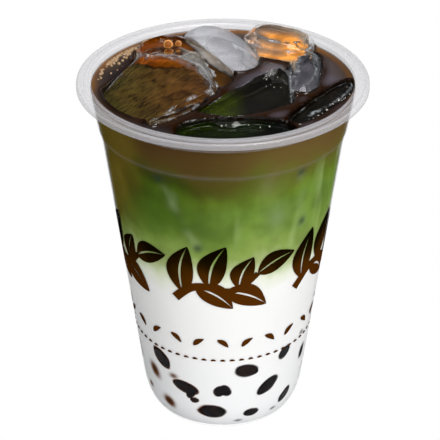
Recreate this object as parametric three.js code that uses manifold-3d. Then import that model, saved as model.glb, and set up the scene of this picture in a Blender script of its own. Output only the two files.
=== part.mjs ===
// A layered iced matcha latte in a clear plastic cup: white milk at the bottom,
// green matcha over it, dark tea on top, and pieces of ice that break the surface.
// Millimetres, +Z up. The origin is the middle of the base, where the cup stands.
import * as THREE from 'three';
import { mergeVertices } from 'three/addons/utils/BufferGeometryUtils.js';
import Module from 'manifold-3d';

const wasm = await Module();
wasm.setup();

// Cup, outside. A thin moulded cup of the common 95 mm rim size.
const RIM_RADIUS = 47.5;
const RIM_HEIGHT = 122;
const LIP_BOTTOM = 119.75; // underside of the flat rim
const LIP_ROUND = 0.8; // rounding of the rim's upper edges
const LIP_CHAMFER = 0.25; // small bevel at its lower edge
const NECK_BOTTOM = 106.4; // ledge of the stacking shoulder
const NECK_BOTTOM_RADIUS = 40.85;
const NECK_TOP_RADIUS = 43.15;
const LEDGE_DROP = 0.5; // height of the ledge itself
const LEDGE_RADIUS = 40.55; // just under the ledge
const SHOULDER_BOTTOM = 100; // where the shoulder runs out into the cone
const BEAD_HEIGHT = 117; // fine ring under the rim
const BEAD_PROUD = 0.25;
const BEAD_HALF = 0.45;
const CONE_FOOT_RADIUS = 25.92; // the cone's radius, carried down to the ground
const CONE_TAPER = 0.134; // radius gained per millimetre of height
const CORNER_HEIGHT = 12; // the rounded corner eases out of the cone below this
const CORNER_WIDTH = 4.8;
const CORNER_POWER = 2.15; // a little fuller than an ellipse
const FOOT_INNER_RADIUS = 15.5; // the flat ring that the cup stands on starts here
const FOOT_SLOPE = 1; // width of the slope from the ring up to the hollow
const HOLLOW = 1.2; // height of the shallow hollow under the base
const WALL = 0.6;
const FLOOR = 1.1;

// Drink.
const GAP = 0.3; // between pieces that touch
const MILK_TOP = 70;
const MATCHA_TOP = 103;
const LEVEL = 118.8;
const MENISCUS_RISE = 1.1; // how far the surface climbs at the wall
const MENISCUS_REACH = 2.4; // how far from the wall the climb starts

// Smoothness.
const CUP_SIDES = 60;
const DRINK_SIDES = 48;
const CORNER_STEPS = 6;
const ROUND_STEPS = 3;
const MENISCUS_STEPS = 4;
const ICE_AROUND = 18;
const ICE_DOWN = 9;
const ICE_HEADROOM = 10; // above the rim, more than any piece stands out

// Ice, in the order that each piece is laid: a later piece is cut by the earlier ones.
// at: middle. half: half sizes. turn: degrees about X, Y, then Z. boxy: 2 is an
// ellipsoid, 5 a block. cuts: flat sides, as [direction in degrees, distance].
const ICE = {
  ice_slab_left: {
    at: [-22.3, -2.5, 116], half: [20, 27, 5.4], turn: [4, -7, 6], boxy: 2.9,
    cuts: [[146, 13.8], [-52, 16.4]],
  },
  ice_wedge_left: {
    at: [-14.9, -18.6, 114.7], half: [14.5, 4.2, 5.2], turn: [0, 0, 46], boxy: 2.8, cuts: [],
  },
  ice_crescent_back_left: {
    at: [-12, 14, 116], half: [13.5, 22.5, 6.8], turn: [8, 0, 32], boxy: 2.6, cuts: [],
  },
  ice_dome_back: {
    at: [-1, 25.8, 116.2], half: [10, 17.5, 9.4], turn: [4, 0, 36], boxy: 2.3, cuts: [],
  },
  ice_block_back_right: {
    at: [18.6, 28.8, 118.3], half: [11.6, 8.6, 6.6], turn: [-2, 3, -22], boxy: 5.5, cuts: [],
  },
  ice_block_right: {
    at: [26.6, 10.5, 114.6], half: [5.2, 15.5, 6.8], turn: [2, 3, -6], boxy: 4.2, cuts: [],
  },
  ice_slab_middle: {
    at: [9.6, -9.4, 115.8], half: [20.5, 12, 5.4], turn: [15, -7, 42], boxy: 3.6,
    cuts: [[-42, 12.4], [91, 6.6]],
  },
  ice_slab_right: {
    at: [33.2, -11, 114.4], half: [19.5, 4.2, 5.8], turn: [0, 0, 54], boxy: 4, cuts: [],
  },
  ice_slab_front: {
    at: [4, -31.5, 113.6], half: [21.5, 9, 6.1], turn: [0, 0, 3], boxy: 3.2, cuts: [],
  },
};

// Turns a three.js geometry into a solid, and a solid back into a geometry.
function toSolid(geometry) {
  const bare = geometry.clone();
  bare.deleteAttribute('normal');
  bare.deleteAttribute('uv');
  const merged = mergeVertices(bare);
  const mesh = new wasm.Mesh({
    numProp: 3,
    vertProperties: new Float32Array(merged.attributes.position.array),
    triVerts: new Uint32Array(merged.index.array),
  });
  return new wasm.Manifold(mesh);
}

function toGeometry(solid) {
  const { vertProperties, triVerts, numProp } = solid.getMesh();
  const positions = new Float32Array(vertProperties.length / numProp * 3);
  for (let i = 0; i < positions.length / 3; i += 1) {
    for (let axis = 0; axis < 3; axis += 1) {
      positions[3 * i + axis] = vertProperties[numProp * i + axis];
    }
  }
  const geometry = new THREE.BufferGeometry();
  geometry.setAttribute('position', new THREE.BufferAttribute(positions, 3));
  geometry.setIndex(new THREE.BufferAttribute(new Uint32Array(triVerts), 1));
  geometry.computeVertexNormals();
  return geometry;
}

// A closed profile of [radius, height] points, turned about the Z axis.
function revolve(profile, sides) {
  const points = profile.map(([radius, height]) => new THREE.Vector2(radius, height));
  const geometry = new THREE.LatheGeometry(points, sides);
  geometry.rotateX(Math.PI / 2);
  return toSolid(geometry);
}

// Numbers from start to end in equal steps, both ends included.
function spread(start, end, steps) {
  return Array.from({ length: steps + 1 }, (_, i) => start + (end - start) * i / steps);
}

// Points on a circle round [radius, height], between two angles in degrees.
function arc(radius, height, size, start, end) {
  return spread(start, end, ROUND_STEPS)
    .map((degrees) => THREE.MathUtils.degToRad(degrees))
    .map((angle) => [radius + size * Math.cos(angle), height + size * Math.sin(angle)]);
}

// The cup's outer radius at a height, from the foot to the underside of the rim.
function outerRadius(height) {
  const cone = CONE_FOOT_RADIUS + CONE_TAPER * height;
  if (height < CORNER_HEIGHT) {
    const drop = 1 - height / CORNER_HEIGHT;
    return cone - CORNER_WIDTH * (1 - (1 - drop ** CORNER_POWER) ** (1 / CORNER_POWER));
  }
  const ledge = NECK_BOTTOM - LEDGE_DROP;
  if (height <= SHOULDER_BOTTOM) {
    return cone;
  }
  if (height <= ledge) {
    const part = (height - SHOULDER_BOTTOM) / (ledge - SHOULDER_BOTTOM);
    const coneAtLedge = CONE_FOOT_RADIUS + CONE_TAPER * ledge;
    return cone + (LEDGE_RADIUS - coneAtLedge) * part * part;
  }
  const up = (height - NECK_BOTTOM) / (LIP_BOTTOM - NECK_BOTTOM);
  return NECK_BOTTOM_RADIUS + (NECK_TOP_RADIUS - NECK_BOTTOM_RADIUS) * Math.max(up, 0);
}

// Heights at which the side of the cup bends, with extra ones round the corner and shoulder.
function sideHeights(bottom, top) {
  const corner = spread(0, Math.PI / 2, CORNER_STEPS).map((angle) => CORNER_HEIGHT * (1 - Math.cos(angle)));
  const shoulder = spread(SHOULDER_BOTTOM, NECK_BOTTOM - LEDGE_DROP, 3);
  const all = [...corner, ...shoulder, NECK_BOTTOM, BEAD_HEIGHT];
  return [bottom, ...all.filter((height) => height > bottom + 0.2 && height < top - 0.2), top];
}

function cupSolid() {
  const footOuter = outerRadius(0);
  const outside = [
    [0, HOLLOW],
    [FOOT_INNER_RADIUS - FOOT_SLOPE, HOLLOW],
    [FOOT_INNER_RADIUS, 0],
    [footOuter, 0],
    ...sideHeights(0, BEAD_HEIGHT - BEAD_HALF).slice(1).map((height) => [outerRadius(height), height]),
    [outerRadius(BEAD_HEIGHT) + BEAD_PROUD, BEAD_HEIGHT],
    [outerRadius(BEAD_HEIGHT + BEAD_HALF), BEAD_HEIGHT + BEAD_HALF],
    [NECK_TOP_RADIUS, LIP_BOTTOM],
  ];
  const bore = NECK_TOP_RADIUS - WALL;
  const lip = [
    [RIM_RADIUS - LIP_CHAMFER, LIP_BOTTOM],
    [RIM_RADIUS, LIP_BOTTOM + LIP_CHAMFER],
    ...arc(RIM_RADIUS - LIP_ROUND, RIM_HEIGHT - LIP_ROUND, LIP_ROUND, 0, 90),
    ...arc(bore + LIP_ROUND, RIM_HEIGHT - LIP_ROUND, LIP_ROUND, 90, 180),
  ];
  const inside = sideHeights(HOLLOW + FLOOR, LIP_BOTTOM)
    .map((height) => [outerRadius(height) - WALL, height])
    .reverse();
  return revolve([...outside, ...lip, ...inside, [0, HOLLOW + FLOOR]], CUP_SIDES);
}

// Radius of the drink at a height, clear of the wall.
function drinkRadius(height) {
  return outerRadius(Math.min(height, LIP_BOTTOM)) - WALL - GAP;
}

// A flat layer of the drink.
function layerSolid(bottom, top) {
  const side = sideHeights(bottom, top).map((height) => [drinkRadius(height), height]);
  return revolve([[0, bottom], ...side, [0, top]], DRINK_SIDES);
}

// The top layer: its surface climbs a little where it wets the wall.
function topLayerSolid(bottom) {
  const side = sideHeights(bottom, LEVEL).map((height) => [drinkRadius(height), height]);
  const wall = drinkRadius(LEVEL + MENISCUS_RISE);
  const meniscus = spread(0, 1, MENISCUS_STEPS)
    .map((part) => [wall - MENISCUS_REACH * part, LEVEL + MENISCUS_RISE * (1 - part) ** 2.5]);
  return revolve([[0, bottom], ...side.slice(0, -1), ...meniscus, [0, LEVEL]], DRINK_SIDES);
}

// A ball whose points are pushed out towards a box, turned and put in its place.
function iceBody({ at, half, turn, boxy, cuts }, grow = 0) {
  const geometry = new THREE.SphereGeometry(1, ICE_AROUND, ICE_DOWN);
  const position = geometry.attributes.position;
  const point = new THREE.Vector3();
  for (let i = 0; i < position.count; i += 1) {
    point.fromBufferAttribute(position, i);
    const norm = Math.abs(point.x) ** boxy + Math.abs(point.y) ** boxy + Math.abs(point.z) ** boxy;
    point.multiplyScalar(norm ** (-1 / boxy));
    position.setXYZ(i, point.x * (half[0] + grow), -point.z * (half[1] + grow), point.y * (half[2] + grow));
  }
  let solid = toSolid(geometry);
  for (const [direction, distance] of cuts) {
    const reach = 4 * Math.max(...half);
    const box = new THREE.BoxGeometry(reach, reach, reach);
    box.translate(reach / 2 + distance + grow, 0, 0);
    box.rotateZ(THREE.MathUtils.degToRad(direction));
    solid = solid.subtract(toSolid(box));
  }
  return solid.rotate(turn).translate(at);
}

// The widest space that the ice may fill: the inside of the cup, clear of its wall.
function boreSolid() {
  const bottom = MATCHA_TOP;
  const top = RIM_HEIGHT + ICE_HEADROOM;
  const side = sideHeights(bottom, LIP_BOTTOM).map((height) => [drinkRadius(height), height]);
  return revolve([[0, bottom], ...side, [drinkRadius(top), top], [0, top]], DRINK_SIDES);
}

// The biggest closed body of a cut solid.
function biggest(solid) {
  const bodies = solid.decompose();
  bodies.sort((a, b) => b.volume() - a.volume());
  return bodies[0];
}

// Every piece of ice, cut clear of the wall and of the pieces laid before it,
// and the space that they take up in the drink.
function layIce() {
  const bore = boreSolid();
  const pieces = {};
  let taken = null;
  for (const [name, spec] of Object.entries(ICE)) {
    let piece = iceBody(spec).intersect(bore);
    const grown = iceBody(spec, GAP);
    if (taken) {
      piece = piece.subtract(taken);
    }
    pieces[name] = biggest(piece);
    taken = taken ? taken.add(grown) : grown;
  }
  return { pieces, taken };
}

function addMesh(group, name, solid, look) {
  const mesh = new THREE.Mesh(toGeometry(solid), new THREE.MeshStandardMaterial(look));
  mesh.name = name;
  group.add(mesh);
}

const group = new THREE.Group();
const { pieces, taken } = layIce();

const milk = layerSolid(HOLLOW + FLOOR + GAP, MILK_TOP);
const matcha = layerSolid(MILK_TOP + GAP, MATCHA_TOP);
const tea = biggest(topLayerSolid(MATCHA_TOP + GAP).subtract(taken));
addMesh(group, 'cup', cupSolid(), { color: 0xe6e6ea, roughness: 0.3, transparent: true, opacity: 0.35 });
addMesh(group, 'milk', milk, { color: 0xf1efec, roughness: 0.35 });
addMesh(group, 'matcha', matcha, { color: 0x6f8a2c, roughness: 0.35 });
addMesh(group, 'tea', tea, { color: 0x5a4522, roughness: 0.15 });
for (const [name, piece] of Object.entries(pieces)) {
  addMesh(group, name, piece, { color: 0x9c9a86, roughness: 0.1, transparent: true, opacity: 0.5 });
}

export default group;
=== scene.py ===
"""Looks of a layered iced matcha latte in a clear plastic cup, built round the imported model.
The scene is in metres. The tables of sizes are in millimetres and are multiplied by MM."""
import math

import bmesh
import bpy
import numpy as np
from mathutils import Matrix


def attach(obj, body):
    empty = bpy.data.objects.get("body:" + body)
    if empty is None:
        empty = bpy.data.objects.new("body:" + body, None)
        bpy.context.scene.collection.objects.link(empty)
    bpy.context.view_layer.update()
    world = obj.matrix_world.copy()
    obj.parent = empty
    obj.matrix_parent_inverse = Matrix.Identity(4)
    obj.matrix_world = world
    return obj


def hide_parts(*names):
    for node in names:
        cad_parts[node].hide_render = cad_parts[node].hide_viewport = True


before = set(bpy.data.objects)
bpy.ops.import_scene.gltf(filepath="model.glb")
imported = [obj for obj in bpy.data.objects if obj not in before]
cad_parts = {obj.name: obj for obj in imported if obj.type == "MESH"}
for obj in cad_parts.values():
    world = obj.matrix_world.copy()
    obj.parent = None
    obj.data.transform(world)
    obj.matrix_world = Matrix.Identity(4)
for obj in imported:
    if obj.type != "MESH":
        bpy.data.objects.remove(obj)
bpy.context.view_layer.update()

MM = 0.001

# Camera, light and floor
# The drink is seen from the front and above, in soft white light that comes mostly from
# the right and from above. The left side is in the shade.
CAMERA_BACK = 591.5 * MM
CAMERA_HEIGHT = 404.2 * MM
CAMERA_PITCH = 29.54
CAMERA_LENS = 165.3
CAMERA_SHIFT = -0.0066
SENSOR_WIDTH = 36
SKY_COLOUR = (0.93, 0.96, 1)
SKY_MEAN = 0.34
SKY_TO_RIGHT = 0.12
SKY_TO_BACK = -0.35
LIGHT_AIM = 80 * MM
# name, place, size and power of each light
SOFTBOXES = [
    ("key_right", (0.50, -0.87, 0.70), 0.6, 11.5),
    ("fill_left", (-0.95, -0.75, 0.45), 0.8, 3.4),
    ("overhead", (0.12, -0.05, 1.25), 0.4, 6),
]
FLOOR_HALF = 3.0
FLOOR_BELOW_DRINK = (0.5, 0.5, 0.5)
BLACK = (0, 0, 0)
WHITE = (1, 1, 1)
SHARP_ANGLE = 50

camera_data = bpy.data.cameras.new("camera")
camera_data.lens = CAMERA_LENS
camera_data.sensor_width = SENSOR_WIDTH
camera_data.shift_x = CAMERA_SHIFT
camera_data.clip_start = 0.01
camera = bpy.data.objects.new("camera", camera_data)
camera.location = (0, -CAMERA_BACK, CAMERA_HEIGHT)
camera.rotation_euler = (math.radians(90 - CAMERA_PITCH), 0, 0)
bpy.context.scene.collection.objects.link(camera)
bpy.context.scene.camera = camera
bpy.context.scene.view_settings.view_transform = "Standard"


def maths(tree, operation, a, b, clamp=False):
    """A Math node on two sockets or numbers; returns its output."""
    node = tree.nodes.new("ShaderNodeMath")
    node.operation = operation
    node.use_clamp = clamp
    for socket, value in zip(node.inputs, (a, b)):
        if isinstance(value, (int, float)):
            socket.default_value = value
        else:
            tree.links.new(value, socket)
    return node.outputs["Value"]


def times(tree, a, b):
    """The product of two sockets or numbers."""
    return maths(tree, "MULTIPLY", a, b)


def ramp(tree, value, start, end, low=0.0, high=1.0):
    """A smooth step: low where the value is at start, high where it is at end."""
    node = tree.nodes.new("ShaderNodeMapRange")
    node.interpolation_type = "SMOOTHSTEP"
    for name, number in (("From Min", start), ("From Max", end), ("To Min", low), ("To Max", high)):
        node.inputs[name].default_value = number
    tree.links.new(value, node.inputs["Value"])
    return node.outputs["Result"]


def mix(tree, factor, a, b, mode="MIX"):
    """A colour mix of two sockets or RGB tuples; returns its output."""
    node = tree.nodes.new("ShaderNodeMix")
    node.data_type = "RGBA"
    node.blend_type = mode
    for name, value in (("Factor", factor), ("A", a), ("B", b)):
        socket = node.inputs[name]
        if isinstance(value, (int, float)):
            socket.default_value = value
        elif isinstance(value, tuple):
            socket.default_value = (*value, 1)
        else:
            tree.links.new(value, socket)
    return node.outputs["Result"]


def noise(tree, place, scale, detail=2.0, stretch=(1, 1, 1), turn=0.0):
    """Noise between 0 and 1 over a place, stretched along its axes after a turn about Z
    in degrees."""
    mapping = tree.nodes.new("ShaderNodeMapping")
    mapping.inputs["Rotation"].default_value = (0, 0, math.radians(turn))
    mapping.inputs["Scale"].default_value = stretch
    mapping.vector_type = "TEXTURE" if turn else "POINT"
    tree.links.new(place, mapping.inputs["Vector"])
    node = tree.nodes.new("ShaderNodeTexNoise")
    node.inputs["Scale"].default_value = scale
    node.inputs["Detail"].default_value = detail
    tree.links.new(mapping.outputs["Vector"], node.inputs["Vector"])
    return node.outputs["Fac"]


def attribute(tree, name, output="Fac"):
    """An attribute that the mesh carries, as a number or a colour."""
    node = tree.nodes.new("ShaderNodeAttribute")
    node.attribute_name = name
    return node.outputs[output]


def new_material(name, colour=(0.8, 0.8, 0.8), roughness=0.5, ior=1.45):
    """A material with one Principled shader; returns the material, its tree and the shader."""
    material = bpy.data.materials.new(name)
    material.use_nodes = True
    shader = material.node_tree.nodes["Principled BSDF"]
    shader.inputs["Base Color"].default_value = (*colour, 1)
    shader.inputs["Roughness"].default_value = roughness
    shader.inputs["IOR"].default_value = ior
    return material, material.node_tree, shader


def place_of(tree):
    """The place in the object, in metres."""
    return tree.nodes.new("ShaderNodeTexCoord").outputs["Object"]


def add_piece(name, mesh, material, replaced=None):
    """A smooth piece of the drink that rides on the root, in the place of a solid
    where one is named."""
    piece = bpy.data.objects.new(name, mesh)
    bpy.context.scene.collection.objects.link(piece)
    mesh.materials.append(material)
    mesh.shade_smooth()
    mesh.set_sharp_from_angle(angle=math.radians(SHARP_ANGLE))
    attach(piece, "root")
    if replaced:
        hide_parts(replaced)
    return piece


def softbox(name, place, size, power):
    """A square area light at one point, facing the middle of the cup."""
    data = bpy.data.lights.new(name, "AREA")
    data.size = size
    data.energy = power
    light = bpy.data.objects.new(name, data)
    light.location = place
    x, y, z = -place[0], -place[1], LIGHT_AIM - place[2]
    lean = math.atan2(z, math.hypot(x, y))
    light.rotation_euler = (math.pi / 2 + lean, 0, math.atan2(y, x) - math.pi / 2)
    bpy.context.scene.collection.objects.link(light)


for softbox_values in SOFTBOXES:
    softbox(*softbox_values)

world = bpy.data.worlds.new("studio")
world.use_nodes = True
sky = world.node_tree
direction = sky.nodes.new("ShaderNodeSeparateXYZ")
sky.links.new(sky.nodes.new("ShaderNodeTexCoord").outputs["Generated"], direction.inputs["Vector"])
across = maths(sky, "MULTIPLY", direction.outputs["X"], SKY_TO_RIGHT)
along = maths(sky, "MULTIPLY", direction.outputs["Y"], SKY_TO_BACK)
strength = maths(sky, "ADD", maths(sky, "ADD", across, along), SKY_MEAN)
sky.nodes["Background"].inputs["Color"].default_value = (*SKY_COLOUR, 1)
sky.links.new(strength, sky.nodes["Background"].inputs["Strength"])
bpy.context.scene.world = world

floor_mesh = bpy.data.meshes.new("floor")
floor_signs = ((-1, -1), (1, -1), (1, 1), (-1, 1))
floor_corners = [(a * FLOOR_HALF, b * FLOOR_HALF, 0) for a, b in floor_signs]
floor_mesh.from_pydata(floor_corners, [], [(0, 1, 2, 3)])
floor_look, tree, shader = new_material("floor", roughness=0.9)
# The camera sees pure white. The drink gets the light of a grey floor.
seen = tree.nodes.new("ShaderNodeLightPath").outputs["Is Camera Ray"]
tree.links.new(mix(tree, seen, FLOOR_BELOW_DRINK, BLACK), shader.inputs["Base Color"])
tree.links.new(mix(tree, seen, BLACK, WHITE), shader.inputs["Emission Color"])
shader.inputs["Emission Strength"].default_value = 1.0
shader.inputs["Specular IOR Level"].default_value = 0.0
floor_mesh.materials.append(floor_look)
floor = bpy.data.objects.new("floor", floor_mesh)
bpy.context.scene.collection.objects.link(floor)

# Cup
# A thin clear cup, moulded in one piece from slightly milky plastic: a flat rim with a shallow
# groove, a neck with a fine bead and a stacking ledge, a plain cone and a round base corner.
RIM_RADIUS = 47.5
RIM_HEIGHT = 122.0
LIP_BOTTOM = 119.75
LIP_ROUND = 0.8
LIP_CHAMFER = 0.25
GROOVE_RADIUS = 45.6
GROOVE_HALF = 0.8
GROOVE_DEPTH = 0.14
NECK_BOTTOM = 106.4
NECK_BOTTOM_RADIUS = 40.85
NECK_TOP_RADIUS = 43.15
LEDGE_DROP = 0.5
LEDGE_RADIUS = 40.55
SHOULDER_BOTTOM = 100.0
BEAD_HEIGHT = 117.0
BEAD_PROUD = 0.22
BEAD_HALF = 0.45
RING_HEIGHTS = (17.5, 6.5)
RING_PROUD = 0.07
CONE_FOOT_RADIUS = 25.92
CONE_TAPER = 0.134
CORNER_HEIGHT = 12.0
CORNER_WIDTH = 4.8
CORNER_POWER = 2.15
FOOT_INNER_RADIUS = 15.5
FOOT_SLOPE = 1.0
HOLLOW = 1.2
WALL = 0.6
CUP_FLOOR = 1.1
# how milky the rim is, with fine rings round it, and painted highlights as pale lines of extra
# milkiness at its lower edge, the bead and the ledge
RIM_MILKY = 0.37
RIM_RINGS = 5.5
RIM_RING_CONTRAST = 0.16
RIM_EDGE_MILKY_AND_HIGHLIGHT = 1.2
BEAD_HIGHLIGHT = 0.5
LEDGE_HIGHLIGHT = 0.15


def outer_radius(height):
    """The cup's outer radius at each height: a cone, less the corner's curve near the ground,
    eased out to the ledge at the shoulder, then the neck's own cone."""
    height = np.asarray(height, float)
    cone = CONE_FOOT_RADIUS + CONE_TAPER * height
    drop = np.clip(1 - height / CORNER_HEIGHT, 0, 1)
    corner = cone - CORNER_WIDTH * (1 - (1 - drop ** CORNER_POWER) ** (1 / CORNER_POWER))
    ledge = NECK_BOTTOM - LEDGE_DROP
    part = np.clip((height - SHOULDER_BOTTOM) / (ledge - SHOULDER_BOTTOM), 0, 1)
    shoulder = corner + (LEDGE_RADIUS - CONE_FOOT_RADIUS - CONE_TAPER * ledge) * part ** 2
    rise = np.clip((height - NECK_BOTTOM) / (LIP_BOTTOM - NECK_BOTTOM), 0, 1)
    neck = NECK_BOTTOM_RADIUS + (NECK_TOP_RADIUS - NECK_BOTTOM_RADIUS) * rise
    step = np.clip((height - ledge) / LEDGE_DROP, 0, 1)
    step = step * step * (3 - 2 * step)
    return shoulder * (1 - step) + neck * step


def swelling(values, middle, half):
    """A low round bump: 1 at its middle, 0 from half its width on."""
    return np.clip(1 - ((values - middle) / half) ** 2, 0, 1)


def side_heights(bottom, top, spacing=1.0):
    """Heights from bottom to top, close together at the base corner, the ledge, the bead
    and the rings."""
    corner = CORNER_HEIGHT * (1 - np.cos(np.linspace(0, np.pi / 2, 24)))
    ledge = np.linspace(NECK_BOTTOM - LEDGE_DROP - 0.3, NECK_BOTTOM + 0.3, 14)
    bumps = [np.linspace(at - BEAD_HALF, at + BEAD_HALF, 9) for at in (BEAD_HEIGHT, *RING_HEIGHTS)]
    inner = np.concatenate([corner, ledge, *bumps, np.arange(bottom, top, spacing)])
    inner = inner[(inner > bottom + 0.05) & (inner < top - 0.05)]
    return np.unique(np.round(np.concatenate([[bottom], inner, [top]]), 3))


def arc(radius, height, size, start, end, steps=8):
    """Points on a circle round (radius, height), between two angles in degrees."""
    angle = np.radians(np.linspace(start, end, steps + 1))
    return np.stack([radius + size * np.cos(angle), height + size * np.sin(angle)], -1)


def side(heights, inset=0.0):
    """(radius, height) points of the cup's side, moved inwards by inset."""
    return np.stack([outer_radius(heights) - inset, heights], -1)


def turned(profile, around=240):
    """Rows of points of a (radius, height) profile turned about Z: x = r cos a, y = r sin a."""
    angle = np.linspace(0, 2 * np.pi, around, endpoint=False)
    radius = profile[:, :1]
    height = np.repeat(profile[:, 1:], around, axis=1)
    return np.stack([radius * np.cos(angle), radius * np.sin(angle), height], -1) * MM


def store(mesh, name, values):
    """Keep a number or an RGBA colour at every point of a mesh."""
    kind, key = ("FLOAT", "value") if values.ndim == 1 else ("FLOAT_COLOR", "color")
    numbers_to_keep = values.astype(np.float32).ravel()
    mesh.attributes.new(name, kind, "POINT").data.foreach_set(key, numbers_to_keep)


def grid_mesh(name, rows, **values):
    """A closed surface from rows of points that run round it: each row joins the next and
    its own start, and the first and last rows are single points on the axis. Values that come
    in rows like the points are kept at the points."""
    count, around = rows.shape[:2]
    body = np.arange((count - 2) * around).reshape(count - 2, around) + 1
    right = np.roll(body, -1, axis=1)
    quads = np.stack([body[:-1], right[:-1], right[1:], body[1:]], -1).reshape(-1, 4)
    last = (count - 2) * around + 1
    low = np.stack([np.zeros(around, int), right[0], body[0]], -1)
    high = np.stack([np.full(around, last), body[-1], right[-1]], -1)
    mesh = bpy.data.meshes.new(name)

    def flat(data):
        return np.concatenate([data[0, :1], data[1:-1].reshape(-1, *data.shape[2:]), data[-1, :1]])

    mesh.from_pydata(flat(rows).tolist(), [], quads.tolist() + low.tolist() + high.tolist())
    for key, value in values.items():
        store(mesh, key, flat(value))
    return mesh


heights = side_heights(0, LIP_BOTTOM)
outside = side(heights)
outside[:, 0] += BEAD_PROUD * swelling(heights, BEAD_HEIGHT, BEAD_HALF)
for at in RING_HEIGHTS:
    outside[:, 0] += RING_PROUD * swelling(heights, at, BEAD_HALF)
bore = NECK_TOP_RADIUS - WALL
lip_top = np.linspace(RIM_RADIUS - LIP_ROUND, bore + LIP_ROUND, 26)[1:-1]
groove = GROOVE_DEPTH * swelling(lip_top, GROOVE_RADIUS, GROOVE_HALF)
cup_profile = np.concatenate([
    [[0, HOLLOW], [FOOT_INNER_RADIUS - FOOT_SLOPE, HOLLOW], [FOOT_INNER_RADIUS, 0]],
    outside,
    [[RIM_RADIUS - LIP_CHAMFER, LIP_BOTTOM], [RIM_RADIUS, LIP_BOTTOM + LIP_CHAMFER]],
    arc(RIM_RADIUS - LIP_ROUND, RIM_HEIGHT - LIP_ROUND, LIP_ROUND, 0, 90),
    np.stack([lip_top, RIM_HEIGHT - groove], -1),
    arc(bore + LIP_ROUND, RIM_HEIGHT - LIP_ROUND, LIP_ROUND, 90, 180),
    side(side_heights(HOLLOW + CUP_FLOOR, LIP_BOTTOM), WALL)[::-1],
    [[0, HOLLOW + CUP_FLOOR]],
])
cup_rows = turned(cup_profile)
out, up = np.hypot(cup_rows[..., 0], cup_rows[..., 1]) / MM, cup_rows[..., 2] / MM
milky = (up > LIP_BOTTOM - 0.01) * (1 + RIM_RING_CONTRAST * np.sin(out * RIM_RINGS))
# painted highlights: the rim's lower edge, the bead and the ledge are made milkier so that they
# show as pale lines of light
milky[np.abs(up - LIP_BOTTOM - LIP_CHAMFER) < 0.1] = RIM_EDGE_MILKY_AND_HIGHLIGHT
milky = np.maximum(milky, BEAD_HIGHLIGHT * swelling(up, BEAD_HEIGHT, BEAD_HALF))
milky = np.maximum(milky, LEDGE_HIGHLIGHT * swelling(up, NECK_BOTTOM, 2 * LEDGE_DROP))

cup_look, tree, shader = new_material("clear_plastic", (0.58, 0.565, 0.585), 0.14, 1.6)
facing = tree.nodes.new("ShaderNodeLayerWeight")
facing.inputs["Blend"].default_value = 0.5
wall_haze = ramp(tree, facing.outputs["Facing"], 0.77, 0.99, 0.004, 0.5)
rim_haze_and_highlight = times(tree, attribute(tree, "milky"), RIM_MILKY)
tree.links.new(maths(tree, "MAXIMUM", wall_haze, rim_haze_and_highlight), shader.inputs["Alpha"])
add_piece("cup_wall", grid_mesh("cup_wall", cup_rows, milky=milky), cup_look, "cup")

# Pearls
# Dark, chewy tapioca pearls sunk in the milk. Those at the wall press against it and show as
# small dark patches with soft edges, where the milk over them is thin.
SKIN = 0.3
PEARL_DEEP = 3.5
PRESSED = 0.07
LUMPS = 0.22
MILK_FADE = 0.55
# how deep a pearl's middle lies behind the skin, in millimetres: pressed against the wall,
# just behind the skin, or so deep that it only shows as a faint spot
TOUCH = 2.1
DIM = 3.3
SUNK = 3.85
# angle from the front (right is positive), height, half length and half width of the patch,
# tilt, and depth
PEARLS = [
    (-45.0, 27.4, 4.0, 2.7, -43, TOUCH), (-55.0, 19.6, 5.0, 3.8, -50, 3.68),
    (-27.0, 18.2, 4.4, 2.3, -12, TOUCH), (-22.5, 16.6, 2.7, 1.4, 62, TOUCH),
    (-20.5, 13.4, 1.4, 1.0, 10, TOUCH), (-43.3, 8.8, 4.2, 3.5, -30, 3.64),
    (-2.2, 18.6, 2.3, 1.8, 60, TOUCH), (1.6, 18.9, 2.3, 1.7, -60, TOUCH),
    (-7.9, 9.2, 4.5, 2.7, 3, TOUCH), (-13.0, 9.8, 3.2, 2.4, 20, DIM),
    (21.0, 7.7, 2.5, 1.6, 0, TOUCH), (15.8, 27.0, 3.7, 2.4, -8, TOUCH),
    (32.7, 18.2, 4.2, 2.3, 36, TOUCH), (51.3, 9.9, 3.2, 1.8, 42, TOUCH),
    (44.3, 30.0, 2.6, 1.9, 45, TOUCH), (68.7, 23.6, 3.6, 2.8, 80, DIM),
    (11.7, 4.4, 2.4, 1.2, 0, SUNK), (41.1, 5.9, 2.2, 1.2, 0, SUNK),
    (-66.0, 10.5, 3.0, 2.0, 30, SUNK), (62.0, 33.5, 2.4, 1.6, -30, SUNK),
    (-36.0, 21.5, 3.2, 2.0, 10, SUNK), (92, 11, 4.0, 2.4, 10, TOUCH),
    (104, 24, 3.6, 2.0, -40, TOUCH), (121, 9, 3.4, 2.2, 35, TOUCH),
    (128, 31, 2.8, 1.9, 0, TOUCH), (143, 19, 4.2, 2.1, 50, TOUCH),
    (163, 8.5, 3.8, 2.4, -5, TOUCH), (171, 25, 3.4, 2.2, -30, TOUCH),
    (186, 15, 2.6, 1.8, 20, TOUCH), (203, 8, 4.2, 2.2, 0, TOUCH),
    (212, 27, 3.2, 1.7, 45, TOUCH), (231, 17, 4.4, 2.0, -35, TOUCH),
    (247, 29, 2.4, 1.8, 10, SUNK), (256, 9, 3.6, 2.3, 15, TOUCH),
    (275, 21, 4.0, 1.8, -50, TOUCH),
]


def waves(points, length, seed):
    """Slow waves in space: the mean of six sines, each along its own direction."""
    random = np.random.default_rng(seed)
    total = np.zeros(points.shape[:-1])
    for _ in range(6):
        direction = random.normal(size=3)
        direction *= 2 * np.pi / (length * np.linalg.norm(direction))
        total += np.sin(points @ direction + random.uniform(0, 2 * np.pi))
    return total / 6


def on_wall(angle, height, inset=0.0):
    """Points in millimetres on the cup's side, at angles in radians from the front."""
    radius = outer_radius(height) - inset
    return np.stack([radius * np.sin(angle), -radius * np.cos(angle), height], -1)


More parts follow.
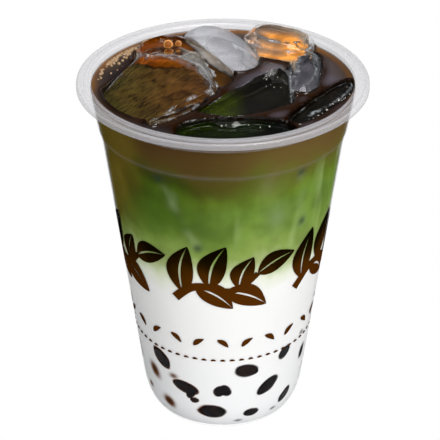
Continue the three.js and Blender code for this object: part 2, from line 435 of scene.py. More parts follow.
def ball_rows(around, down):
    """Rows of points on a ball of radius 1, from its lowest point to its highest."""
    turn = np.linspace(0, 2 * np.pi, around, endpoint=False)
    tip = np.linspace(0, np.pi, down)[:, None]
    out = np.sin(tip)
    return np.stack([out * np.cos(turn), out * np.sin(turn), 0 * turn - np.cos(tip)], -1)


def pearl_axes(pearl):
    """The half length and half width of the whole pearl, so that it meets the skin in its patch."""
    share = math.sqrt(1 - (pearl[5] / PEARL_DEEP) ** 2) if pearl[5] < PEARL_DEEP else 0.8
    return pearl[2] / max(share, 0.8), pearl[3] / max(share, 0.8)


def pearl_rows(number, pearl):
    """A lumpy ellipsoid behind the skin, its outer side pressed flat against the wall."""
    ball = ball_rows(40, 22)[::-1]
    ball = ball * (1 + LUMPS * waves(ball, 1.5, 50 + number))[..., None]
    long, wide = pearl_axes(pearl)
    tilt = math.radians(pearl[4])
    u, v = ball[..., 0] * long, ball[..., 1] * wide
    across = u * math.cos(tilt) - v * math.sin(tilt)
    angle = math.radians(pearl[0]) + across / float(outer_radius(pearl[1]))
    height = np.maximum(pearl[1] + u * math.sin(tilt) + v * math.cos(tilt), HOLLOW + CUP_FLOOR)
    inset = np.maximum(SKIN + pearl[5] - ball[..., 2] * PEARL_DEEP, SKIN - PRESSED)
    return on_wall(angle, height, inset) * MM


def pearl_shade(points):
    """How dark the milk's skin is at each point, by the thickness of the milk over the pearls."""
    shade = np.zeros(points.shape[:-1])
    angle = np.arctan2(points[..., 0], -points[..., 1])
    for pearl in PEARLS:
        long, wide = pearl_axes(pearl)
        tilt = math.radians(pearl[4])
        off = (angle - math.radians(pearl[0]) + np.pi) % (2 * np.pi) - np.pi
        across, up = off * float(outer_radius(pearl[1])), points[..., 2] / MM - pearl[1]
        u = (across * math.cos(tilt) + up * math.sin(tilt)) / long
        v = (up * math.cos(tilt) - across * math.sin(tilt)) / wide
        far = np.hypot(u, v) * (1 + 0.1 * waves(points / MM, 4, 9))
        over = pearl[5] - PEARL_DEEP * np.sqrt(np.clip(1 - far ** 2, 0, 1))
        over = np.clip(over + 3 * np.clip(far - 1, 0, None), 0, None)
        shade = np.maximum(shade, np.exp(-over / MILK_FADE))
    return shade


def joined_mesh(name, grids):
    """One mesh of several closed grids."""
    whole = bmesh.new()
    for grid in grids:
        part = grid_mesh("part", grid)
        whole.from_mesh(part)
        bpy.data.meshes.remove(part)
    mesh = bpy.data.meshes.new(name)
    whole.to_mesh(mesh)
    whole.free()
    return mesh


pearl_look, tree, shader = new_material("pearl", (0.006, 0.004, 0.004), 0.35, 1.4)
speckle = noise(tree, place_of(tree), 260)
speckled = mix(tree, ramp(tree, speckle, 0.45, 0.7), (0.003, 0.002, 0.003), (0.012, 0.005, 0.003))
tree.links.new(speckled, shader.inputs["Base Color"])
shader.inputs["Specular IOR Level"].default_value = 0.15
pearl_grids = [pearl_rows(number, pearl) for number, pearl in enumerate(PEARLS) if pearl[5] < DIM]
add_piece("pearls", joined_mesh("pearls", pearl_grids), pearl_look)

# Drink layers
# White milk, cloudy green matcha and brown tea, poured so that they stay apart and blend where
# they meet. Each fills the cup and reaches just into its wall, so that no air shows.
MILK_TOP = 70.0
MATCHA_TOP = 103.0
LEVEL = 118.8
MENISCUS_RISE = 1.2
MENISCUS_WIDTH = 1.1
LAYER_STOPS = [
    (0.0, (0.80, 0.80, 0.80)),
    (60.0, (0.80, 0.79, 0.765)),
    (65.0, (0.70, 0.725, 0.60)),
    (68.0, (0.55, 0.61, 0.40)),
    (71.0, (0.34, 0.40, 0.17)),
    (75.0, (0.200, 0.282, 0.065)),
    (82.0, (0.138, 0.222, 0.036)),
    (92.0, (0.120, 0.200, 0.030)),
    (99.0, (0.104, 0.160, 0.016)),
    (105.0, (0.104, 0.112, 0.015)),
    (110.0, (0.116, 0.079, 0.019)),
    (119.0, (0.112, 0.060, 0.020)),
]
SWIRL = 22 * MM
BLOTCH = 34 * MM
# painted shade: multiplied into the drink's colour at the left and high up in the middle
LEFT_SHADE = (0.40, 0.46, 0.25)
CENTRE_SHADE = (0.58, 0.52, 0.45)
LEFT_BROWN = (0.125, 0.085, 0.010)
STREAK = (0.30, 0.39, 0.15)


def swing(tree, value, size):
    """A value between 0 and 1, moved to the middle and made this big."""
    return times(tree, maths(tree, "SUBTRACT", value, 0.5), size)


def between(tree, value, start, full, fall, end):
    """1 between two of four heights in millimetres and 0 outside all four, in smooth steps."""
    rise = ramp(tree, value, start * MM, full * MM)
    return times(tree, rise, ramp(tree, value, end * MM, fall * MM))


def drink_colour_group():
    """Colour of the drink at a place: a ramp over the height, pushed up and down by slow swirls,
    with painted shade that makes the green darker towards the left and the drink darker high up in
    the middle, brown at the far left, and paler streaks at the right."""
    group = bpy.data.node_groups.new("drink_colour", "ShaderNodeTree")
    group.interface.new_socket("Place", in_out="INPUT", socket_type="NodeSocketVector")
    group.interface.new_socket("Colour", in_out="OUTPUT", socket_type="NodeSocketColor")
    place = group.nodes.new("NodeGroupInput").outputs["Place"]
    end = group.nodes.new("NodeGroupOutput")
    parts = group.nodes.new("ShaderNodeSeparateXYZ")
    group.links.new(place, parts.inputs["Vector"])
    across, up = parts.outputs["X"], parts.outputs["Z"]

    height = maths(group, "ADD", up, swing(group, noise(group, place, 60, 3, (1, 1, 0.7)), SWIRL))
    colours = group.nodes.new("ShaderNodeValToRGB")
    group.links.new(maths(group, "DIVIDE", height, RIM_HEIGHT * MM), colours.inputs["Fac"])
    stops = colours.color_ramp.elements
    while len(stops) < len(LAYER_STOPS):
        stops.new(0.5)
    for stop, (at, colour) in zip(stops, LAYER_STOPS):
        stop.position = at / RIM_HEIGHT
        stop.color = (*colour, 1)

    blotch = swing(group, noise(group, place, 45, 2), BLOTCH)
    left = ramp(group, maths(group, "ADD", across, blotch), 16 * MM, -24 * MM)
    left = times(group, left, between(group, height, 72, 92, 102, 108))
    shaded = mix(group, left, colours.outputs["Color"], LEFT_SHADE, "MULTIPLY")
    centre = ramp(group, across, 24 * MM, -8 * MM)
    centre = times(group, centre, ramp(group, height, 98 * MM, 106 * MM))
    shaded = mix(group, centre, shaded, CENTRE_SHADE, "MULTIPLY")
    edge = ramp(group, maths(group, "ADD", across, times(group, blotch, 0.3)), -24 * MM, -33 * MM)
    edge = times(group, edge, ramp(group, height, 72 * MM, 84 * MM, 0, 0.85))
    browned = mix(group, edge, shaded, LEFT_BROWN)

    wisps = ramp(group, noise(group, place, 110, 4, (1, 1, 0.8)), 0.32, 0.68, 0.80, 1.2)
    shown = between(group, height, 68, 80, 98, 106)
    wispy = mix(group, shown, browned, mix(group, 1.0, browned, wisps, "MULTIPLY"))
    streaks = noise(group, place, 95, 2, (1, 1, 0.16))
    pale = ramp(group, maths(group, "ADD", streaks, times(group, across, 3.0)), 0.58, 0.75)
    pale = times(group, times(group, pale, between(group, up, 66, 78, 101, 110)), 0.6)
    group.links.new(mix(group, pale, wispy, STREAK), end.inputs["Colour"])
    return group


drink_colour = drink_colour_group()


def drink_material(name):
    """A layer's look: the drink's colour behind the plastic; returns the colour's socket too."""
    material, tree, shader = new_material(name, roughness=0.22, ior=1.35)
    colour = tree.nodes.new("ShaderNodeGroup")
    colour.node_tree = drink_colour
    tree.links.new(place_of(tree), colour.inputs["Place"])
    tree.links.new(colour.outputs["Colour"], shader.inputs["Base Color"])
    shader.inputs["Specular IOR Level"].default_value = 0.0
    return material, tree, shader, colour.outputs["Colour"]


# edges of ice that lean on the inside of the wall: the angle and height of both ends, and the width
WALL_EDGES = [(-31, 103.5, -13, 78.5, 1.6), (38.5, 104, 43.5, 84, 1.6), (22, 103, 28, 86, 3.6)]


def edge_marks(points):
    """How pale each point is by the edges of ice behind the wall, and how dark by their ends."""
    angle = np.arctan2(points[..., 0], -points[..., 1])
    pale, dark = np.zeros(angle.shape), np.zeros(angle.shape)
    cloudy = np.clip(0.55 + 1.1 * waves(points / MM, 11, 21), 0.1, 1)
    for start_angle, start_height, end_angle, end_height, width in WALL_EDGES:
        radius = float(outer_radius((start_height + end_height) / 2))
        run = np.array([math.radians(end_angle - start_angle) * radius, end_height - start_height])
        across = (angle - math.radians(start_angle)) * radius
        place = np.stack([across, points[..., 2] / MM - start_height], -1)
        along = place @ run / (run @ run)
        off = np.linalg.norm(place - np.clip(along, 0, 1)[..., None] * run, axis=-1)
        off = off + 1.4 * waves(points / MM, 7, 33)
        pale = np.maximum(pale, np.exp(-(off / width) ** 2) * cloudy)
        ends = np.minimum(np.linalg.norm(place, axis=-1), np.linalg.norm(place - run, axis=-1))
        dark = np.maximum(dark, np.exp(-(ends / 1.7) ** 2) * (width < 2))
    return {"pale": pale, "dark": dark}


def add_edge_marks(tree, shader, colour):
    """Lighten the drink's colour along the edges of ice behind the wall and darken it
    at their ends."""
    lighter = mix(tree, times(tree, attribute(tree, "pale"), 0.28), colour, (0.30, 0.38, 0.20))
    darker = mix(tree, times(tree, attribute(tree, "dark"), 0.75), lighter, (0.012, 0.03, 0.018))
    tree.links.new(darker, shader.inputs["Base Color"])


def layer_rows(bottom, top, spacing, around):
    """A flat layer: up its side inside the cup's wall, closed flat below and above."""
    wall = side(side_heights(bottom, top, spacing), SKIN)
    inner = np.linspace(0.06, 0.98, 10)
    under = np.stack([inner * wall[0, 0], np.full(len(inner), bottom)], -1)
    over = np.stack([inner[::-1] * wall[-1, 0], np.full(len(inner), top)], -1)
    return turned(np.concatenate([[[0, bottom]], under, wall, over, [[0, top]]]), around)


BROWN_FRINGE = (0.14, 0.055, 0.02)
GREY_FRINGE = (0.16, 0.155, 0.16)
PEARL_BEHIND_MILK = (0.012, 0.006, 0.005)
milk_look, tree, shader, colour = drink_material("milk")
covered = attribute(tree, "pearl")
sides = tree.nodes.new("ShaderNodeSeparateXYZ")
tree.links.new(place_of(tree), sides.inputs["Vector"])
to_right = ramp(tree, sides.outputs["X"], -9 * MM, 6 * MM)
fringe = mix(tree, to_right, BROWN_FRINGE, GREY_FRINGE)
fringed = mix(tree, ramp(tree, covered, 0.0, 0.6), colour, fringe)
spotted = mix(tree, ramp(tree, covered, 0.35, 1.0), fringed, PEARL_BEHIND_MILK)
tree.links.new(spotted, shader.inputs["Base Color"])
milk_rows = layer_rows(HOLLOW + CUP_FLOOR - SKIN, MILK_TOP, 0.5, 400)
milk_mesh = grid_mesh("milk_layer", milk_rows, pearl=pearl_shade(milk_rows))
add_piece("milk_layer", milk_mesh, milk_look, "milk")

matcha_look, tree, shader, colour = drink_material("matcha")
add_edge_marks(tree, shader, colour)
matcha_rows = layer_rows(MILK_TOP, MATCHA_TOP, 0.8, 300)
matcha_mesh = grid_mesh("matcha_layer", matcha_rows, **edge_marks(matcha_rows))
add_piece("matcha_layer", matcha_mesh, matcha_look, "matcha")

# Ice
# Clear, wet, half melted pieces that lean on each other and break the surface. Each keeps the
# form of its solid, with its edges melted round and fine waves over its faces. Edges and a few
# faces are frosty, and the dome at the back is smooth and milky. The frost on the sharp edges is
# also a painted highlight: it whitens them into thin bright lines.
ICE_VOXEL = 0.5 * MM
ICE_WAVE = 0.14 * MM
ICE_WAVE_LENGTH = 7 * MM
EDGE_SHARPNESS = (0.02, 0.06)
LEAST_FROST = 0.06
MAP_CELL = 0.5 * MM
MAP_HALF = 100
CLEAR_ICE = (0.97, 0.98, 0.97)
AMBER_ICE = (0.30, 0.20, 0.09)
FROST = (0.30, 0.32, 0.33)
MILKY_ICE = (0.57, 0.57, 0.60)
# rounds of softening, milkiness of the frost and depth of the grain, where they aren't the usual
MELT_ROUNDS = {"ice_dome_back": 16}
MILKINESS = {"ice_dome_back": 1.0, "ice_block_back_right": 0.5}
GRAIN = {"ice_slab_left": 1.0}
# the drink's colour under each piece at its left and its right, how frosty it is all over,
# how much more towards one of its sides seen from above, that side, and from what share of
# the way there
ICE = {
    "ice_slab_left": ((0.036, 0.027, 0.006), (0.064, 0.026, 0.006), 0.0, 0.4, (0.7, 0.72), 0.5),
    "ice_wedge_left": ((0.05, 0.022, 0.003), (0.070, 0.024, 0.002), 0.0, 0.25, (-0.7, 0.7), 0.5),
    "ice_crescent_back_left": ((0.18, 0.04, 0.001), (0.075, 0.032, 0.001),
                               0.0, 0.05, (-0.9, -0.4), 0.8),
    "ice_dome_back": ((0.42, 0.42, 0.44), (0.15, 0.145, 0.155), 0.32, 0.53, (-0.5, 0.85), -0.1),
    "ice_block_back_right": ((0.17, 0.145, 0.13), (0.20, 0.145, 0.08), 0.0, 0.30, (1.0, -0.1), 0.8),
    "ice_block_right": ((0.055, 0.053, 0.062), (0.090, 0.085, 0.098), 0.05, 0.30, (1.0, 0.1), 0.4),
    "ice_slab_middle": ((0.022, 0.031, 0.0), (0.003, 0.002, 0.0), 0.0, 0.35, (0.9, 0.5), 0.82),
    "ice_slab_right": ((0.004, 0.003, 0.001), (0.008, 0.006, 0.004), 0.0, 0.0, (1, 0), 1.0),
    "ice_slab_front": ((0.005, 0.010, 0.0), (0.001, 0.002, 0.001), 0.0, 0.0, (1, 0), 1.0),
}


def numbers(items, key, width):
    """One property of all items of a mesh, as an array."""
    values = np.zeros(len(items) * width)
    items.foreach_get(key, values)
    return values.reshape(-1, width) if width > 1 else values


def melted(node, name, seed, rounds):
    """A copy of a solid, merged, rebuilt in small even faces, rounded, waved along its normals
    and kept inside the solid's box. Returns the mesh and its points."""
    mesh = node.data.copy()
    work = bmesh.new()
    work.from_mesh(mesh)
    bmesh.ops.remove_doubles(work, verts=work.verts, dist=1e-6)
    work.to_mesh(mesh)
    work.free()
    mesh.materials.clear()
    shape = bpy.data.objects.new(name, mesh)
    bpy.context.scene.collection.objects.link(shape)
    remesh = shape.modifiers.new("even", "REMESH")
    remesh.mode = "VOXEL"
    remesh.voxel_size = ICE_VOXEL
    soften = shape.modifiers.new("melt", "SMOOTH")
    soften.factor = 0.5
    soften.iterations = rounds
    bpy.context.view_layer.update()
    final = shape.evaluated_get(bpy.context.evaluated_depsgraph_get())
    done = bpy.data.meshes.new_from_object(final)
    bpy.data.objects.remove(shape)
    points = numbers(done.vertices, "co", 3)
    wave = ICE_WAVE * waves(points, ICE_WAVE_LENGTH, seed)
    points += numbers(done.vertices, "normal", 3) * wave[:, None]
    corners = np.array(node.bound_box)
    points = np.clip(points, corners.min(0), corners.max(0))
    done.vertices.foreach_set("co", points.ravel())
    done.name = name
    done.update()
    return done, points


def edge_sharpness(mesh, points):
    """How sharply the surface bends outwards at each point: how far the mean of its neighbours
    lies below it, along its normal, over the size of a face."""
    ends = numbers(mesh.edges, "vertices", 2).astype(int)
    total, count = np.zeros(points.shape), np.zeros(len(points))
    for a, b in (ends.T, ends.T[::-1]):
        np.add.at(total, a, points[b] - points[a])
        np.add.at(count, a, 1)
    return -np.sum(total / count[:, None] * numbers(mesh.vertices, "normal", 3), axis=1) / ICE_VOXEL


def second_material(mesh, values, least):
    """Give the second material to every face at whose points the mean value is over the least."""
    corner = numbers(mesh.loops, "vertex_index", 1).astype(int)
    start = numbers(mesh.polygons, "loop_start", 1).astype(int)
    total = np.diff(np.append(start, len(corner)))
    mean = np.add.reduceat(values[corner], start) / total
    mesh.polygons.foreach_set("material_index", (mean > least).astype(np.int32))


def blurred(picture, times):
    """The mean of each cell and its eight neighbours, several times over."""
    for _ in range(times):
        wide = np.pad(picture, 1, mode="edge")
        picture = sum(wide[1 + a:wide.shape[0] - 1 + a, 1 + b:wide.shape[1] - 1 + b]
                      for a in (-1, 0, 1) for b in (-1, 0, 1)) / 9
    return picture


def cover_map(points, lowest):
    """Where a piece lies, seen from above, on a square map: 1 in it and 0 outside, softened
    by a few cells."""
    cover = np.zeros((2 * MAP_HALF, 2 * MAP_HALF))
    high = points[points[:, 2] > lowest]
    cell = np.floor(high[:, :2] / MAP_CELL).astype(int) + MAP_HALF
    cover[cell[:, 0], cell[:, 1]] = 1
    return blurred((blurred(cover, 1) > 0.3).astype(float), 3)


def look_up(picture, x, y):
    """The map's value at places in metres, blended between the four nearest cells."""
    column = np.clip(x / MAP_CELL + MAP_HALF - 0.5, 0, 2 * MAP_HALF - 1.001)
    row = np.clip(y / MAP_CELL + MAP_HALF - 0.5, 0, 2 * MAP_HALF - 1.001)
    i, j = column.astype(int), row.astype(int)
    u, v = column - i, row - j
    low = picture[i, j] * (1 - u) + picture[i + 1, j] * u
    high = picture[i, j + 1] * (1 - u) + picture[i + 1, j + 1] * u
    return low * (1 - v) + high * v


ice_look, tree, shader = new_material("clear_ice", roughness=0.03, ior=1.31)
shader.inputs["Transmission Weight"].default_value = 1.0
stained = mix(tree, attribute(tree, "amber"), CLEAR_ICE, AMBER_ICE)
tree.links.new(stained, shader.inputs["Base Color"])
place = place_of(tree)
patches = noise(tree, place, 300, 3)
tree.links.new(ramp(tree, patches, 0.45, 0.8, 0.0, 0.1), shader.inputs["Roughness"])
grain = noise(tree, place, 1100, 2, (7, 1, 1), 50)
bump = tree.nodes.new("ShaderNodeBump")
bump.inputs["Strength"].default_value = 0.6
bump.inputs["Distance"].default_value = 0.25 * MM
tree.links.new(times(tree, grain, attribute(tree, "grain")), bump.inputs["Height"])
tree.links.new(bump.outputs["Normal"], shader.inputs["Normal"])

frost_and_glint_look, tree, shader = new_material("frosty_and_glinting_ice", roughness=0.2, ior=1.31)
whitened = mix(tree, attribute(tree, "milkiness"), FROST, MILKY_ICE)
tree.links.new(whitened, shader.inputs["Base Color"])
cloud = ramp(tree, noise(tree, place_of(tree), 700, 4), 0.38, 0.6, 0.1, 1.0)
cloud = maths(tree, "MAXIMUM", cloud, attribute(tree, "milkiness"))
cover = maths(tree, "MULTIPLY", attribute(tree, "frost_and_glint"), cloud, True)
tree.links.new(cover, shader.inputs["Alpha"])

ice_points = {}
for seed, (name, (_, _, all_over, more, direction, start)) in enumerate(ICE.items()):
    mesh, points = melted(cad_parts[name], name + "_melted", seed, MELT_ROUNDS.get(name, 6))
    broken = np.clip(waves(points, 6 * MM, 70) * 2 + 0.7, 0, 1)
    least, most = EDGE_SHARPNESS
    # painted highlight: the sharpest edges get frost, which whitens them into thin bright lines
    edges = np.clip((edge_sharpness(mesh, points) - least) / (most - least), 0, 1) ** 2 * broken
    plan = points[:, :2] - (points[:, :2].max(0) + points[:, :2].min(0)) / 2
    share = plan @ np.array(direction) / np.abs(plan @ np.array(direction)).max()
    towards = np.clip((share + 0.06 * waves(points, 3 * MM, 4) - start) / 0.15, 0, 1)
    amber = np.zeros(len(points))
    if name == "ice_crescent_back_left":
        # darker towards its long edge at the right
        amber = 0.35 + 0.6 * np.clip((plan @ np.array([0.85, 0.53]) / MM - 3) / 6, 0, 1)
    if name == "ice_dome_back":
        # milky in one wide run, with hardly any frost on its edges
        towards, edges = np.clip((share - start) / 0.8, 0, 1), 0.2 * edges
    frost_and_glint = np.clip(all_over + more * towards + 0.8 * edges, 0, 0.95)
    frost_and_glint *= np.clip((points[:, 2] / MM - LEVEL + 1) / 0.8, 0, 1)
    store(mesh, "amber", amber)
    store(mesh, "frost_and_glint", frost_and_glint)
    store(mesh, "milkiness", np.full(len(points), MILKINESS.get(name, 0.0)))
    store(mesh, "grain", np.full(len(points), GRAIN.get(name, 0.3)))
    piece = add_piece(name + "_melted", mesh, ice_look, name)
    mesh.materials.append(frost_and_glint_look)
    second_material(mesh, frost_and_glint, LEAST_FROST)
    piece.visible_shadow = False
    ice_points[name] = points

# Tea
# Dark brown tea up to the rim. Its wet surface climbs at the wall, where it is thin and orange,
# and it dips under each piece of ice, so that one looks down through the ice into it.
PIT_DEPTH = 4.5
CLIMB = 0.8
# the open surface: dark tea with a painted grey-violet reflection of the sky
TEA_AND_SKY_REFLECTION = (0.038, 0.032, 0.038)
TEA_NEAR_ICE = (0.020, 0.007, 0.002)
TEA_SHALLOW = (0.060, 0.040, 0.030)
TEA_LIGHT_STRIPE = (0.75, 0.27, 0.03)
TEA_THIN = (0.17, 0.075, 0.025)
# the middle of the painted light stripe under the back right block, a bright amber band of light
# through the tea, and the cosine and sine of its turn
LIGHT_STRIPE_MIDDLE = (18.2, 28.8)
LIGHT_STRIPE_TURN = (0.927, 0.375)
# painted shade: a dark ring on the tea where it meets each piece of ice
JOIN_SHADE_DARKNESS = 0.8


def blend(share, a, b):
    """Mix two RGB colours, or arrays of them, by an array of shares."""
    return np.asarray(a, float) * (1 - share[..., None]) + np.asarray(b, float) * share[..., None]


wall = side(side_heights(MATCHA_TOP, LEVEL + MENISCUS_RISE), SKIN)
edge_radius = wall[-1, 0]
inner = (1 - np.linspace(1, 0, 150)[1:-1] ** 1.15)[::-1] * edge_radius
at_wall = MENISCUS_RISE * np.exp(-(edge_radius - inner) / MENISCUS_WIDTH)
surface = np.stack([inner, LEVEL + at_wall], -1)
under = np.stack([np.linspace(0.06, 0.98, 10) * wall[0, 0], np.full(10, MATCHA_TOP)], -1)
tea_rows = turned(np.concatenate([[[0, MATCHA_TOP]], under, wall, surface, [[0, LEVEL]]]), 400)
top = slice(len(under) + len(wall) + 1, None)
x, y = tea_rows[top, :, 0], tea_rows[top, :, 1]
far = np.hypot(x, y) / MM
wobble = waves(tea_rows[top], 14 * MM, 5)
# painted reflection of the sky on the open tea, brighter towards the right
paint = np.array(TEA_AND_SKY_REFLECTION) * (1 + 1.5 * np.clip(x / MM / 15, -0.36, 1))[..., None]
paint = blend(np.clip((far - 35 + 2 * wobble) / 6, 0, 1), paint, TEA_SHALLOW)
covers = {name: cover_map(points, (LEVEL - 1) * MM) for name, points in ice_points.items()}
beside = look_up(blurred(np.maximum.reduce(list(covers.values())), 40), x, y)
paint = blend(np.clip((beside - 0.12 + 0.1 * wobble) / 0.3, 0, 1), paint, TEA_NEAR_ICE)
paint = blend(np.clip((far - edge_radius + 2.4 + 0.8 * wobble) / 2.2, 0, 1), paint, TEA_THIN)
pits, climbs, join_shade = (np.zeros(x.shape) for _ in range(3))
lines = np.zeros(tea_rows.shape[:2])
for name, points in ice_points.items():
    near = look_up(covers[name], x, y)
    cover = np.clip(near * 2 - 1, 0, 1)
    climbs = np.maximum(climbs, np.clip(near * 2, 0, 1) ** 2)
    middle, spread = points[:, 0].mean(), points[:, 0].std()
    share = np.clip(0.5 + (x - middle) / (2.4 * spread) + 0.25 * wobble, 0, 1)
    if name == "ice_slab_middle":
        share = np.clip(((x - middle) / MM + 7) / 5 + 0.25 * wobble, 0, 1)
    paint = blend(np.clip(cover * 2, 0, 1), paint, blend(share, ICE[name][0], ICE[name][1]))
    # painted shade round the ice's outline
    join_shade = np.maximum(join_shade, np.exp(-((near - 0.6) / 0.3) ** 2))
    if name == "ice_block_back_right":
        across, back = x / MM - LIGHT_STRIPE_MIDDLE[0], y / MM - LIGHT_STRIPE_MIDDLE[1]
        u = across * LIGHT_STRIPE_TURN[0] - back * LIGHT_STRIPE_TURN[1]
        v = across * LIGHT_STRIPE_TURN[1] + back * LIGHT_STRIPE_TURN[0]
        # painted light: a bright amber stripe on the tea under the block, seen through the ice
        paint = blend(np.exp(-((v - 6.5) / 1.6) ** 2 - (u / 8) ** 4), paint, TEA_LIGHT_STRIPE)
    pits = np.maximum(pits, cover)
    lines[top] = np.maximum(lines[top], cover * (1.0 if name == "ice_slab_left" else 0.2))
tea_rows[top, :, 2] += (CLIMB * climbs - (PIT_DEPTH + CLIMB) * pits * pits * (3 - 2 * pits)) * MM
# the tea top's colour, with its painted reflection, painted light stripe and painted shade
tint = np.zeros(tea_rows.shape[:2] + (4,))
tint[top, :, :3] = paint * (1 - JOIN_SHADE_DARKNESS * join_shade)[..., None]
is_top = np.zeros(tea_rows.shape[:2])
is_top[top] = 1
is_iced = np.zeros(tea_rows.shape[:2])
is_iced[top] = pits

tea_look, tree, shader, colour = drink_material("tea")
add_edge_marks(tree, shader, colour)
surface_look, tree, shader = new_material("tea_surface", roughness=0.03, ior=1.35)
place = place_of(tree)
stripes = ramp(tree, noise(tree, place, 1400, 4, (6, 1, 1), 50), 0.33, 0.67, -0.55, 0.8)
stripes = maths(tree, "ADD", times(tree, stripes, attribute(tree, "lines")), 1.0)
clouds = ramp(tree, noise(tree, place, 150, 4), 0.3, 0.7, 0.6, 1.35)
plain = attribute(tree, "tint", "Color")
patterned = mix(tree, 1.0, plain, times(tree, stripes, clouds), "MULTIPLY")
tree.links.new(mix(tree, attribute(tree, "is_iced"), plain, patterned), shader.inputs["Base Color"])
tea_mesh = grid_mesh("tea_layer", tea_rows, tint=tint, is_top=is_top, is_iced=is_iced, lines=lines,
                     **edge_marks(tea_rows))
add_piece("tea_layer", tea_mesh, tea_look, "tea")
tea_mesh.materials.append(surface_look)
second_material(tea_mesh, numbers(tea_mesh.attributes["is_top"].data, "value", 1), 0.99)

# Foam
# Tan foam along the wall at the back left, two round bubbles on the crescent, and tiny bubbles
# that cling to the ice at the front, at the right and in the middle.
SLAB_RIGHT_MIDDLE = (33.2, -11)
SLAB_RIGHT_TURN = 54
random = np.random.default_rng(11)
all_ice = np.concatenate(list(ice_points.values()))


def surface_height(x, y):
    """Height in millimetres of what lies on top at each place: ice, or else the tea."""
    found = []
    for px, py in zip(x, y):
        near = np.hypot(all_ice[:, 0] / MM - px, all_ice[:, 1] / MM - py) < 0.5
        found.append(max(LEVEL, all_ice[near, 2].max() / MM) if near.any() else LEVEL)
    return np.array(found)


def bubbles(name, x, y, radius, material):
    """Small balls that sit half sunk on the surface, in one mesh."""
    ball = ball_rows(14, 9)
    centre = np.stack([x, y, surface_height(x, y) + 0.25 * radius], -1)
    grids = [(ball * size + middle) * MM for size, middle in zip(radius, centre)]
    add_piece(name, joined_mesh(name, grids), material)


foam_look, tree, shader = new_material("foam", (0.34, 0.22, 0.12), 0.1, 1.4)
angle = np.radians(np.concatenate([random.uniform(126, 158, 300), random.uniform(156, 176, 24)]))
size = random.uniform(0.2, 0.72, len(angle)) ** 1.4
out = edge_radius - 0.3 - size - random.exponential(0.8, len(angle))
bubbles("foam", out * np.cos(angle), out * np.sin(angle), size, foam_look)

round_look, tree, shader = new_material("round_bubble", roughness=0.03, ior=1.33)
rim = tree.nodes.new("ShaderNodeLayerWeight").outputs["Facing"]
# painted highlight: a bright amber rim round each bubble, darker in its middle
rim_glint_colour = mix(tree, ramp(tree, rim, 0.15, 0.6), (0.22, 0.06, 0.004), (0.85, 0.40, 0.12))
tree.links.new(rim_glint_colour, shader.inputs["Base Color"])
x, y, size = np.array([-18.2, -14.8]), np.array([21.0, 22.0]), np.array([1.6, 1.1])
bubbles("round_bubbles", x, y, size, round_look)

bubble_look, tree, shader = new_material("bubble", (0.62, 0.60, 0.56), 0.08, 1.4)
front_x = np.array([-0.4, 1.0, 3.0, 4.7, 8.0, 11.6, 14.5])
front_y = np.array([-30.2, -29.6, -29.5, -28.2, -29.5, -31.0, -30.0])
along = np.sort(random.uniform(-15, 11, 17))
cosine, sine = math.cos(math.radians(SLAB_RIGHT_TURN)), math.sin(math.radians(SLAB_RIGHT_TURN))
row_x = SLAB_RIGHT_MIDDLE[0] + along * cosine + random.uniform(3.2, 4.6, 17) * sine
row_y = SLAB_RIGHT_MIDDLE[1] + along * sine - random.uniform(3.2, 4.6, 17) * cosine
spot_x, spot_y = random.uniform(10, 25, 26), random.uniform(-7, 4, 26)
x = np.concatenate([front_x, row_x, spot_x])
y = np.concatenate([front_y, row_y, spot_y])
size = np.concatenate([random.uniform(least, most, count) for least, most, count in (
    (0.15, 0.27, 7), (0.16, 0.4, 17), (0.06, 0.15, 26))])
bubbles("small_bubbles", x, y, size, bubble_look)

# Print
# A band of big tea sprigs round the middle of the cup, a row of seeds and a row of small strokes
# below it, in a thin dark brown ink: near black over the green, warmer over the milk.
SPRIGS = 5
SPRIG_HEIGHT = 64.5
SEEDS = 24
SEED_HEIGHT = 39.6
SEED_LENGTH = 4.8
SEED_HALF = 0.95
SEED_TILT = 40
STROKES = 60
STROKE_HEIGHT = 32.2
STROKE_LENGTH = 1.8
STROKE_HALF = 0.42
INK = (0.106, 0.031, 0.0025)
INK_PROUD = 0.03
INK_SUNK = 0.1
# place along the stem, side, length, half width and lean of each leaf of a sprig
LEAVES = [
    (0.10, 1, 19.0, 4.7, 58), (0.27, -1, 15.0, 4.3, 58), (0.43, 1, 17.5, 4.6, 48),
    (0.62, -1, 16.0, 4.4, 50), (0.78, 1, 13.0, 3.9, 46), (1.0, -1, 14.0, 4.0, 2),
]


def stem_point(share):
    """A sprig's stem in millimetres: a slow S that climbs from the lower left to the upper
    right."""
    return np.stack([-19 + 28 * share, -7.5 + 11 * share + 3 * np.sin(2 * np.pi * share)], -1)


def stem_grid():
    """The stem as a strip, thinner towards its tip."""
    share = np.linspace(0, 1, 28)
    middle = stem_point(share)
    run = np.gradient(middle, axis=0)
    across = np.stack([-run[:, 1], run[:, 0]], -1) / np.linalg.norm(run, axis=1)[:, None]
    half = (1.6 - 0.6 * share)[:, None]
    return np.stack([middle + across * half * part for part in (-1, 0, 1)], 1)


def leaf_grid(base, lean, length, half, low, high):
    """Part of a leaf between two shares of its half width. Its outline is a lens with a
    drawn-out tip, and its middle line bends to one side."""
    share = np.linspace(0, 1, 22)
    outline = 0.06 + (half - 0.06) * np.sin(np.pi * share ** 0.82) ** 0.85
    sweep = 0.09 * length * np.sin(np.pi * share)
    across = np.linspace(low, high, 5)
    along = np.repeat(share[:, None] * length, len(across), 1)
    local = np.stack([along, outline[:, None] * across + sweep[:, None]], -1)
    c, s = math.cos(math.radians(lean)), math.sin(math.radians(lean))
    return local @ np.array([[c, s], [-s, c]]) + base


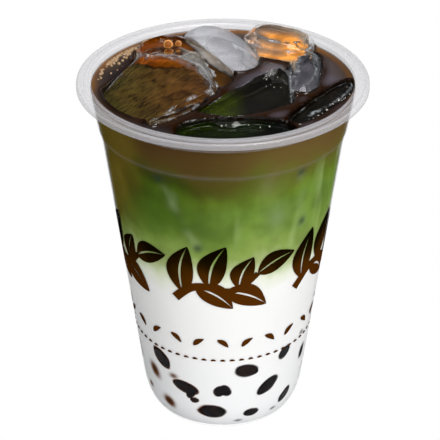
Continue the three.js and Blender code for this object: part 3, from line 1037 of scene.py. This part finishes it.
def ink_mesh(name, grids):
    """Thin closed patches on the cup's side, from grids of (arc length, height) round a
    place, given by its angle and height."""
    points, faces, start = [], [], 0
    for centre_angle, centre_height, grid in grids:
        rows, columns = grid.shape[:2]
        angle = centre_angle + grid[..., 0] / float(outer_radius(centre_height))
        height = centre_height + grid[..., 1]
        front, back = on_wall(angle, height, -INK_PROUD), on_wall(angle, height, INK_SUNK)
        points += (front.reshape(-1, 3) * MM).tolist() + (back.reshape(-1, 3) * MM).tolist()
        index = np.arange(rows * columns).reshape(rows, columns) + start
        corners = (index[:-1, :-1], index[1:, :-1], index[1:, 1:], index[:-1, 1:])
        quad = np.stack(corners, -1).reshape(-1, 4)
        ring = np.concatenate([index[:, 0], index[-1, 1:], index[-2::-1, -1], index[0, -2:0:-1]])
        after = np.roll(ring, -1)
        rim = np.stack([ring, ring + rows * columns, after + rows * columns, after], -1)
        faces += quad.tolist() + (quad[:, ::-1] + rows * columns).tolist() + rim.tolist()
        start += 2 * rows * columns
    mesh = bpy.data.meshes.new(name)
    mesh.from_pydata(points, [], faces)
    tidy = bmesh.new()
    tidy.from_mesh(mesh)
    bmesh.ops.recalc_face_normals(tidy, faces=tidy.faces)
    tidy.to_mesh(mesh)
    tidy.free()
    return mesh


print_grids = []
for number in range(SPRIGS):
    centre = math.radians(4 + number * 360 / SPRIGS)
    print_grids.append((centre, SPRIG_HEIGHT, stem_grid()))
    for share, side_of_stem, length, half, lean in LEAVES:
        base = stem_point(np.array(share))
        heading = 24 + side_of_stem * lean
        for low, high in ((-1, -0.09), (0.09, 1)):
            leaf = leaf_grid(base, heading, length, half, low, high)
            print_grids.append((centre, SPRIG_HEIGHT, leaf))
for number in range(SEEDS):
    centre = math.radians(number * 360 / SEEDS)
    tilt = SEED_TILT if number % 2 else -SEED_TILT
    base = -SEED_LENGTH / 2 * np.array([math.cos(math.radians(tilt)), math.sin(math.radians(tilt))])
    print_grids.append((centre, SEED_HEIGHT, leaf_grid(base, tilt, SEED_LENGTH, SEED_HALF, -1, 1)))
for number in range(STROKES):
    centre, base = math.radians(number * 360 / STROKES), np.array([-STROKE_LENGTH / 2, 0])
    stroke = leaf_grid(base, 0, STROKE_LENGTH, STROKE_HALF, -1, 1)
    print_grids.append((centre, STROKE_HEIGHT, stroke))

ink_look, tree, shader = new_material("ink", roughness=0.4)
shader.inputs["Specular IOR Level"].default_value = 0.0
colour = tree.nodes.new("ShaderNodeGroup")
colour.node_tree = drink_colour
tree.links.new(place_of(tree), colour.inputs["Place"])
twice = mix(tree, 1.0, colour.outputs["Colour"], colour.outputs["Colour"], "MULTIPLY")
tree.links.new(mix(tree, 1.0, twice, INK, "MULTIPLY"), shader.inputs["Base Color"])
add_piece("print", ink_mesh("print", print_grids), ink_look)
